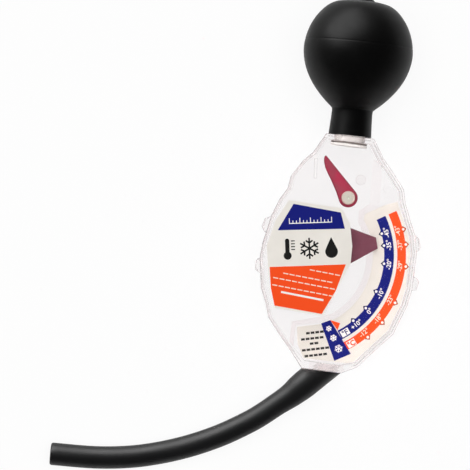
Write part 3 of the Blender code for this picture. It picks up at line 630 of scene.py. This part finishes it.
def pushed_nylon(name, cap):
    """Milky satin nylon, with painted green shade at the pin's end and the needle's red painted pink at its
    rim.
    """
    material, tree, places = new_finish(name)
    middle = sum((Vector(corner) for corner in cap.bound_box), Vector()) / 8
    apart = add(tree, "ShaderNodeVectorMath", {0: places, 1: middle}, operation="DISTANCE").outputs["Value"]
    colour = linear(CAP_MILKY)
    for (start, end), tint, start_share, end_share in CAP_PAINTED_TINTS:
        share = add(tree, "ShaderNodeMapRange", {
            "Value": apart, "From Min": start * MM, "From Max": end * MM,
            "To Min": start_share, "To Max": end_share,
        }).outputs["Result"]
        colour = add(tree, "ShaderNodeMix", {
            0: share, 6: colour, 7: linear(tint),
        }, data_type="RGBA").outputs[2]
    shader = add(tree, "ShaderNodeBsdfPrincipled", {
        "Base Color": colour,
        **worked_skin(tree, places, SKIN_MM, SKIN_DEPTH, CAP_ROUGHNESS),
    })
    add(tree, "ShaderNodeOutputMaterial", {"Surface": shader.outputs[0]})
    return material


needle_plastic = moulded_plastic(
    "moulded_crimson_styrene", NEEDLE_CRIMSON, NEEDLE_CRIMSON_SHADE, roughness=0.3
)
dress(frame["nodes"]["level_needle"], needle_plastic)
# A low rim round the needle's face in darker crimson: painted shade along the needle's edge.
rim_painted_shade_plastic = moulded_plastic("crimson_rim_painted_shade", RIM_PAINTED_SHADE_CRIMSON, RIM_PAINTED_SHADE_CRIMSON_DRIFT, roughness=0.3)
rim = dress(needle_shade_rim(), rim_painted_shade_plastic)
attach(rim, "needle")
dress(frame["nodes"]["needle_pin"], drawn_steel)
needle_cap = frame["nodes"]["needle_cap"]
dress(needle_cap, pushed_nylon("pushed_on_nylon_cap", needle_cap))


# Neck spigot and gasket
# A short tube of natural nylon that the bulb's neck is pushed over, sealed under the housing's top wall by
# a thin ring cut from dark grey rubber.
SPIGOT_WHITE = "#f6f4f0"
SPIGOT_SHADE = "#f0eeea"
GASKET_GREY = "#7a726e"
RUBBER_CLOUD_MM = 12.0
RUBBER_DULLING = 0.08
RUBBER_SKIN_DEPTH = 0.01


def rubber(name, colour, roughness, sheen, grain_mm):
    """Rubber: a soft sheen, duller in patches, over a powdery skin. The powder is drawn coarser than the real
    one, which is too fine to show.
    """
    material, tree, places = new_finish(name)
    powder = add(tree, "ShaderNodeTexNoise", {
        "Vector": places, "Scale": 1 / (grain_mm * MM), "Detail": 4.0,
    }).outputs["Fac"]
    cloud = add(tree, "ShaderNodeTexNoise", {
        "Vector": places, "Scale": 1 / (RUBBER_CLOUD_MM * MM), "Detail": 3.0,
    }).outputs["Fac"]
    shader = add(tree, "ShaderNodeBsdfPrincipled", {
        "Base Color": linear(colour),
        "Roughness": add(tree, "ShaderNodeMapRange", {
            "Value": cloud, "From Min": NOISE_MIDDLE[0], "From Max": NOISE_MIDDLE[1],
            "To Min": roughness, "To Max": roughness + RUBBER_DULLING,
        }).outputs["Result"],
        "Specular IOR Level": sheen,
        "Normal": add(tree, "ShaderNodeBump", {
            "Height": powder, "Distance": RUBBER_SKIN_DEPTH * MM,
        }).outputs["Normal"],
    })
    add(tree, "ShaderNodeOutputMaterial", {"Surface": shader.outputs[0]})
    return material


spigot_nylon = moulded_plastic("natural_nylon_spigot", SPIGOT_WHITE, SPIGOT_SHADE, roughness=0.35)
dress(frame["nodes"]["neck_spigot"], spigot_nylon)
gasket_rubber = rubber("cut_rubber_gasket", GASKET_GREY, roughness=0.5, sheen=0.3, grain_mm=0.5)
dress(frame["nodes"]["neck_gasket"], gasket_rubber)


# Label
# A cream film, screen printed and stuck in a shallow recess of the front face. The print is two panels, a
# graduated line, broken lines, a rule and three pictograms.
LABEL_CREAM = "#f4efe7"
LABEL_CREAM_SHADE = "#efeae2"
LABEL_BLUE_PANEL = [(-27.6, 61.0), (2.6, 65.4), (-0.1, 72.5), (-21.9, 73.8)]
LABEL_ORANGE_PANEL = [(-29.2, 44.0), (-27.5, 34.6), (-24.9, 26.9), (-3.1, 25.7), (1.9, 36.9), (5.0, 49.4)]
LABEL_RULE = ((-12.9, 32.7), (19.6, 0.9), -4.1)  # centre, length and thickness, and lean
LABEL_LEAN = 9.1
LABEL_INK = "#161514"
PICTOGRAM_CENTRE = (-12.3, 54.6)
PICTOGRAM_STEP = 10.0
PICTOGRAM_HALF = 4.8
FLAKE_STROKE = 0.75
DROP_STEPS = 20
SCALE_FOOT = (-13.2, 66.2)
SCALE_TICKS = 13
SCALE_TICK_STEP = 1.6
SCALE_TICK_WIDTH = 0.35
SCALE_TICK_LENGTHS = (2.4, 1.3, 1.3)
SCALE_LINE_WIDTH = 0.4
FINE_LINES = [
    # start and length
    ((-10.9, 45.0), 13.1), ((-22.7, 42.0), 22.3), ((-27.0, 39.5), 27.9), ((-27.0, 36.2), 27.4),
]
FINE_LEAN = -3.9
FINE_DASH = (2.3, 0.6, 0.5)


def thermometer(centre, half, lean, layer):
    """A round bulb and a tube, with four marks beside it."""
    upright = lean + 90
    foot_level, top_level = -0.62 * half, 0.8 * half
    bulb_radius, tube_radius = 0.38 * half, 0.2 * half
    foot = on_circle(centre, foot_level, upright)
    strokes = [
        dot(foot, bulb_radius),
        bar(foot, upright, 0.0, top_level - foot_level, 2 * tube_radius),
        dot(on_circle(centre, top_level, upright), tube_radius),
    ]
    mark_level, mark_step = -0.05 * half, 0.27 * half
    mark_start, mark_end, mark_width = 0.36 * half, 0.72 * half, 0.1 * half
    for step in range(4):
        mark = on_circle(centre, mark_level + mark_step * step, upright)
        strokes.append(bar(mark, lean, mark_start, mark_end, mark_width))
    return stacked(strokes, layer)


def drop(centre, half, lean, layer):
    """A round drop that runs up to a point."""
    upright = lean + 90
    belly_level, belly_radius = -0.38 * half, 0.6 * half
    belly = on_circle(centre, belly_level, upright)
    side = math.degrees(math.asin(belly_radius / (half - belly_level)))
    round_part = arc(belly, belly_radius, lean + 180 - side, lean + 360 + side, DROP_STEPS)
    return [(layer, round_part + [on_circle(centre, half, upright)])]


def graduations():
    """A level line with an upright tick at each step, every third one longer."""
    half_width = SCALE_TICK_STEP * (SCALE_TICKS - 1) / 2
    line_size = (2 * half_width + SCALE_TICK_WIDTH, SCALE_LINE_WIDTH)
    strokes = [rectangle(SCALE_FOOT, line_size, LABEL_LEAN)]
    for tick in range(SCALE_TICKS):
        foot = on_circle(SCALE_FOOT, SCALE_TICK_STEP * tick - half_width, LABEL_LEAN)
        strokes.append(bar(foot, LABEL_LEAN + 90, 0.0, SCALE_TICK_LENGTHS[tick % 3], SCALE_TICK_WIDTH))
    return stacked(strokes, 1)


dress(frame["nodes"]["front_label"], card_stock("cream_label_film", LABEL_CREAM, LABEL_CREAM_SHADE))
left, middle, right = [
    on_circle(PICTOGRAM_CENTRE, PICTOGRAM_STEP * step, LABEL_LEAN) for step in (-1, 0, 1)
]
label_prints = [
    printed("label_blue_panel", HALF_DEPTH, [(0, LABEL_BLUE_PANEL)], INK_BLUE),
    printed("label_orange_panel", HALF_DEPTH, [(0, LABEL_ORANGE_PANEL)], INK_ORANGE),
    printed("label_rule", HALF_DEPTH, [(1, rectangle(*LABEL_RULE))], INK_WHITE),
    printed("label_graduations", HALF_DEPTH, graduations(), INK_WHITE),
    printed("label_pictograms", HALF_DEPTH, [
        *thermometer(left, PICTOGRAM_HALF, LABEL_LEAN, 0),
        *snowflake(middle, PICTOGRAM_HALF, FLAKE_STROKE, LABEL_LEAN, 0),
        *drop(right, PICTOGRAM_HALF, LABEL_LEAN, 0),
    ], LABEL_INK),
    printed("label_fine_lines", HALF_DEPTH, [
        stroke for start, length in FINE_LINES
        for stroke in dashes(start, length, FINE_LEAN, 1, FINE_DASH)
    ], INK_CREAM),
]


# Squeeze bulb
# Black rubber moulded in two halves of a tool, which leaves a faint line round it above the middle. It is
# hollow, with a raised disc on top and a neck that grips the spigot.
RUBBER_BLACK = "#050505"
NECK_FOOT = 107.9
HOUSING_LENGTH = 107.6
BULB_LEAN = 1.25
BULB_TOP = 170.9
BULB_OUTSIDE = [
    # radius, and place along the dial, from the crown down to the neck's foot
    (5.6, 169.8), (9.0, 169.4), (12.9, 168.4), (16.6, 166.0), (20.1, 162.0), (22.4, 158.0), (23.9, 154.0),
    (24.75, 150.0), (25.0, 146.0), (24.5, 142.0), (23.4, 138.0), (21.6, 134.0), (19.1, 130.0), (15.8, 126.0),
    (12.4, 122.6), (10.1, 120.6), (9.35, 119.2), (9.5, 114.0), (9.85, NECK_FOOT),
]
BULB_BUTTON = [(0.0, BULB_TOP), (4.1, BULB_TOP), (4.7, 170.75), (5.0, 170.4)]
BULB_INSIDE = [
    (7.5, NECK_FOOT), (7.5, 121.0), (13.3, 126.0), (19.1, 134.0), (22.0, 142.0), (22.5, 146.0),
    (22.25, 150.0), (19.9, 158.0), (14.2, 164.4), (9.5, 166.7), (0.0, 167.5),
]
PARTING_HEIGHT = 150.2
PARTING_HALF_WIDTH = 0.4
PARTING_DEPTH = 0.11
CURVE_STEPS = 6
BULB_INSIDE_STEPS = 3
BULB_SEGMENTS = 96


def smooth_line(points, steps):
    """A smooth curve through points, with this many steps between each two."""
    points = [Vector(p) for p in points]
    ends = [2 * points[0] - points[1]] + points + [2 * points[-1] - points[-2]]
    line = []
    for before, start, end, after in zip(ends, ends[1:], ends[2:], ends[3:]):
        for step in range(steps):
            t = step / steps
            line.append(
                0.5 * (2 * start + (end - before) * t + (2 * before - 5 * start + 4 * end - after) * t ** 2
                       + (3 * start - before - 3 * end + after) * t ** 3)
            )
    return line + [points[-1]]


def parting_line(point):
    """The outside drawn in a little where the two halves of the tool met."""
    away = abs(point.y - PARTING_HEIGHT) / PARTING_HALF_WIDTH
    return (point.x - PARTING_DEPTH * max(0.0, 1 - away), point.y)


outside = smooth_line(BULB_OUTSIDE, CURVE_STEPS)
groove = [PARTING_HEIGHT + PARTING_HALF_WIDTH, PARTING_HEIGHT, PARTING_HEIGHT - PARTING_HALF_WIDTH]
above = [p for p in outside if p.y > groove[0]]
below = [p for p in outside if p.y < groove[2]]
share = [(above[-1].y - height) / (above[-1].y - below[0].y) for height in groove]
outside = above + [above[-1].lerp(below[0], s) for s in share] + below
inside = [(p.x, p.y) for p in smooth_line(BULB_INSIDE, BULB_INSIDE_STEPS)]
bulb_profile = BULB_BUTTON + [parting_line(p) for p in outside] + inside
bulb_stand = (
    Matrix.Translation((0, HOUSING_LENGTH, 0)) @ Matrix.Rotation(math.radians(BULB_LEAN), 4, "Z")
    @ Matrix.Rotation(math.radians(-90), 4, "X") @ Matrix.Translation((0, 0, -HOUSING_LENGTH))
)
bulb = turned_piece("rubber_squeeze_bulb", bulb_profile, BULB_SEGMENTS, bulb_stand)
dress(bulb, rubber("moulded_bulb_rubber", RUBBER_BLACK, roughness=0.38, sheen=0.15, grain_mm=0.35))
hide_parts("squeeze_bulb")
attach(bulb, "bulb")
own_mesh(bulb)


# Inlet nipple
# A clear barbed stub moulded with the housing's lower end. The hose hides all but its root.
NIPPLE_SEE_THROUGH = 0.85

dress(frame["nodes"]["inlet_nipple"], clear_styrene("moulded_clear_nipple", NIPPLE_SEE_THROUGH))


# Suction hose
# Extruded black rubber tube of about 10 mm, cut square at its free end and stretched over the nipple at the
# other. It leaves the housing to the left, drops to the floor and lies there in one long bend.
NIPPLE_CENTRE = 0.3
NIPPLE_ANGLE = 44.0
HOSE_BLACK = "#101011"
HOSE_RADIUS = 5.15
HOSE_BORE = 3.0
SOCKET_BORE = 4.95
SOCKET_DEPTH = 12.0
HOSE_CUT_LEVEL = -0.3  # just short of the housing's end
HOSE_END_CLEAR = 2.0
HOSE_BEHIND = 3.0  # how far inside the housing the hose's path starts
HOSE_STRAIGHT = (8.0, 13.0, 18.5)  # where the straight run has points, from the nipple's foot
HOSE_ROUTE = [
    # across and along the dial, then the height of the hose's centre above the floor
    (-18.4, -18.3, 9.0), (-24.8, -23.8, 8.6), (-30.9, -28.3, 8.15), (-42.1, -35.3, 7.0), (-55.2, -41.7, 5.85),
    (-68.5, -46.6, 5.25), (-82.0, -50.1, 5.15), (-98.0, -52.3, 5.15), (-118.2, -53.1, 5.15),
]
HOSE_SWELL = [
    # the reach from the nipple's foot, and the outside radius there
    (0.0, 6.5), (10.0, 6.5), (13.5, 6.3), (17.0, 5.85), (20.5, 5.5), (24.5, 5.25), (30.0, HOSE_RADIUS),
]
HOSE_END_ROUND = [
    # how far back from the cut end, and how much the edge is rounded off there
    (0.9, 0.0), (0.45, 0.12), (0.15, 0.35), (0.0, 0.7),
]
BORE_ROUND_SHARE = 0.4
HOSE_SEGMENTS = 48
HOSE_SHARP_ANGLE = 50


def on_floor(across, along, height):
    """A point given across and along the dial, at a height above the floor."""
    foot = dial @ Vector((across, along, 0))
    return foot + out_of_dial * ((height * MM - foot.z) / out_of_dial.z)


def between(table, place):
    """The value at a place in a table of places and values, in straight steps."""
    for (x0, y0), (x1, y1) in zip(table, table[1:]):
        if place <= x1:
            return y0 + (y1 - y0) * max(0.0, place - x0) / (x1 - x0)
    return table[-1][1]


leaving = Vector((-math.sin(math.radians(NIPPLE_ANGLE)), -math.cos(math.radians(NIPPLE_ANGLE)), 0))
nipple_foot = Vector((NIPPLE_CENTRE, 0, 0))
straight_run = [dial @ (nipple_foot + leaving * reach) for reach in (-HOSE_BEHIND, *HOSE_STRAIGHT)]
hose_line = smooth_line(straight_run + [on_floor(*point) for point in HOSE_ROUTE], CURVE_STEPS)
reached = [-HOSE_BEHIND * MM]
for a, b in zip(hose_line, hose_line[1:]):
    reached.append(reached[-1] + (b - a).length)
hose_length = reached[-1]


def hose_rings():
    """Each ring of the tube: its centre, its direction, its outside radius and its bore's, in metres."""
    end_direction = (hose_line[-1] - hose_line[-2]).normalized()
    rings = []
    for i, centre in enumerate(hose_line[:-1]):
        direction = (hose_line[i + 1] - hose_line[max(i - 1, 0)]).normalized()
        place = reached[i] / MM
        clear_of_cut = i == 0 or place > HOSE_STRAIGHT[0]
        if clear_of_cut and hose_length - reached[i] > HOSE_END_CLEAR * MM:
            bore = SOCKET_BORE if place < SOCKET_DEPTH else HOSE_BORE
            rings.append((centre, direction, between(HOSE_SWELL, place) * MM, bore * MM))
    for back, rounding in HOSE_END_ROUND:
        centre = hose_line[-1] - end_direction * back * MM
        bore = HOSE_BORE + BORE_ROUND_SHARE * rounding
        rings.append((centre, end_direction, (HOSE_RADIUS - rounding) * MM, bore * MM))
    return rings


def ring_points(centre, direction, radius):
    side = direction.cross(Vector((0, 0, 1))).normalized()
    up = side.cross(direction)
    turns = [math.tau * i / HOSE_SEGMENTS for i in range(HOSE_SEGMENTS)]
    return [centre + (side * math.cos(t) + up * math.sin(t)) * radius for t in turns]


def cut_along_housing(point, direction):
    """Slides a point of the tube's first ring along the tube, to the line where the housing ends."""
    level = (dial.inverted() @ point).y
    fall = direction.dot(along_dial)
    return point + direction * ((HOSE_CUT_LEVEL - level) * MM / fall)


def make_hose():
    rings = hose_rings()
    bm = bmesh.new()
    skins = []
    for which in (2, 3):
        skin = []
        for i, ring in enumerate(rings):
            points = ring_points(ring[0], ring[1], ring[which])
            if i == 0:
                points = [cut_along_housing(p, ring[1]) for p in points]
            skin.append([bm.verts.new(p) for p in points])
        for lower, upper in zip(skin, skin[1:]):
            for i in range(HOSE_SEGMENTS):
                bm.faces.new((lower[i - 1], lower[i], upper[i], upper[i - 1]))
        skins.append(skin)
    for end in (0, -1):
        outer, inner = skins[0][end], skins[1][end]
        for i in range(HOSE_SEGMENTS):
            bm.faces.new((outer[i - 1], outer[i], inner[i], inner[i - 1]))
    bmesh.ops.recalc_face_normals(bm, faces=bm.faces)
    mesh = bpy.data.meshes.new("rubber_suction_hose")
    bm.to_mesh(mesh)
    bm.free()
    mesh.shade_smooth()
    mesh.set_sharp_from_angle(angle=math.radians(HOSE_SHARP_ANGLE))
    piece = bpy.data.objects.new("rubber_suction_hose", mesh)
    bpy.context.scene.collection.objects.link(piece)
    return piece


hose = make_hose()
dress(hose, rubber("extruded_hose_rubber", HOSE_BLACK, roughness=0.42, sheen=0.42, grain_mm=0.3))
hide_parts("suction_hose", "hose_cuff")
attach(hose, "housing")


# Floor
# A plain white sheet. The camera and clear plastic see it mostly as even white, and the rest of it is lit by
# the lamps, so that it keeps a soft shadow.
FLOOR_HALF_WIDTH = 4.0
FLOOR_GLOW = 0.9


def lit_floor():
    material, tree, _ = new_finish("white_studio_sheet")
    light_path = add(tree, "ShaderNodeLightPath", {}).outputs
    seen = add(tree, "ShaderNodeMath", {
        0: light_path["Is Camera Ray"], 1: light_path["Is Transmission Ray"],
    }, operation="MAXIMUM").outputs[0]
    share_seen = add(tree, "ShaderNodeMath", {0: seen, 1: FLOOR_GLOW}, operation="MULTIPLY").outputs[0]
    sheet = add(tree, "ShaderNodeBsdfDiffuse", {"Color": linear("#fafafa")}).outputs[0]
    glow = add(tree, "ShaderNodeEmission", {"Color": linear("#ffffff"), "Strength": 1.0}).outputs[0]
    mixed = add(tree, "ShaderNodeMixShader", {"Fac": share_seen, 1: sheet, 2: glow}).outputs[0]
    add(tree, "ShaderNodeOutputMaterial", {"Surface": mixed})
    return material


floor_mesh = bpy.data.meshes.new("studio_floor")
corner_signs = [(-1, -1), (1, -1), (1, 1), (-1, 1)]
floor_corners = [(x * FLOOR_HALF_WIDTH, y * FLOOR_HALF_WIDTH, 0) for x, y in corner_signs]
floor_mesh.from_pydata(floor_corners, [], [(0, 1, 2, 3)])
studio_floor = bpy.data.objects.new("studio_floor", floor_mesh)
bpy.context.scene.collection.objects.link(studio_floor)
dress(studio_floor, lit_floor())


# Camera
# It looks square at the dial from far off, with a long lens, turned 7 degrees so that the tester leans as it
# does in the photograph.
CAMERA_TURN = -7.0
CAMERA_CENTRE = (-46.58, 56.50)
VIEW_WIDTH = 215.0
LENS = 250.0
SENSOR = 36.0

camera = bpy.data.objects.new("camera", bpy.data.cameras.new("camera"))
bpy.context.scene.collection.objects.link(camera)
camera.data.lens = LENS
camera.data.sensor_width = SENSOR
camera.data.clip_start = 0.05
camera.data.clip_end = 20.0
camera_distance = VIEW_WIDTH * LENS / SENSOR
camera_place = dial @ Vector((*CAMERA_CENTRE, camera_distance))
camera_turn = dial.to_3x3().normalized() @ Matrix.Rotation(math.radians(-CAMERA_TURN), 3, "Z")
camera.matrix_world = Matrix.Translation(camera_place) @ camera_turn.to_4x4()
bpy.context.scene.camera = camera


# Light
# One wide overhead lamp that reflections leave out, a tall soft box beyond the bulb to the upper left, which
# shades the rubber, and a dim room around them. The camera and clear plastic see the room as white.
OVERHEAD_POWER = 48.0
OVERHEAD_SIZE = (2.4, 2.4)
OVERHEAD_HEIGHT = 2.0
BOX_POWER = 36.0
BOX_SIZE = (1.6, 1.2)
BOX_AWAY = 1.1
BOX_AZIMUTH = 127.0
BOX_HEIGHT = 0.65
TESTER_MIDDLE = (0, 85, 0)
ROOM_LEVEL = 0.07
HORIZON = (0.3, 0.7)


def lamp(name, power, size, place, aim):
    """A rectangular lamp that shines from a place at an aim, and that neither camera nor plastic shows."""
    data = bpy.data.lights.new(name, "AREA")
    data.shape = "RECTANGLE"
    data.size, data.size_y = size
    data.energy = power
    made = bpy.data.objects.new(name, data)
    bpy.context.scene.collection.objects.link(made)
    made.matrix_world = Matrix.Translation(place) @ (place - aim).to_track_quat("Z", "Y").to_matrix().to_4x4()
    made.visible_camera = False
    made.visible_transmission = False
    return made


overhead_place = Vector((0, 0, OVERHEAD_HEIGHT))
overhead = lamp("overhead", OVERHEAD_POWER, OVERHEAD_SIZE, overhead_place, Vector((0, 0, 0)))
overhead.visible_glossy = False
overhead.data.cycles.use_multiple_importance_sampling = False
tester_middle = dial @ Vector(TESTER_MIDDLE)
box_direction = Vector((math.cos(math.radians(BOX_AZIMUTH)), math.sin(math.radians(BOX_AZIMUTH)), 0))
box_place = tester_middle + box_direction * BOX_AWAY + Vector((0, 0, BOX_HEIGHT))
soft_box = lamp("soft_box", BOX_POWER, BOX_SIZE, box_place, tester_middle)
soft_box.visible_diffuse = False

room = bpy.data.worlds.new("dim_room")
bpy.context.scene.world = room
room.use_nodes = True
room.node_tree.nodes.clear()
light_path = add(room.node_tree, "ShaderNodeLightPath", {}).outputs
outwards = add(room.node_tree, "ShaderNodeTexCoord", {}).outputs["Generated"]
height = add(room.node_tree, "ShaderNodeSeparateXYZ", {0: outwards}).outputs["Z"]
low_down = add(room.node_tree, "ShaderNodeMapRange", {
    "Value": height, "From Min": HORIZON[0], "From Max": HORIZON[1], "To Min": 1.0, "To Max": 0.0,
}).outputs[0]
through_plastic = add(room.node_tree, "ShaderNodeMath", {
    0: light_path["Is Transmission Ray"], 1: low_down,
}, operation="MULTIPLY").outputs[0]
seen = add(room.node_tree, "ShaderNodeMath", {
    0: light_path["Is Camera Ray"], 1: through_plastic,
}, operation="MAXIMUM").outputs[0]
level = add(room.node_tree, "ShaderNodeMapRange", {
    "Value": seen, "To Min": ROOM_LEVEL, "To Max": 1.0,
}).outputs[0]
background = add(room.node_tree, "ShaderNodeBackground", {"Color": linear("#ffffff"), "Strength": level})
add(room.node_tree, "ShaderNodeOutputWorld", {"Surface": background.outputs[0]})
bpy.context.scene.view_settings.view_transform = "Standard"
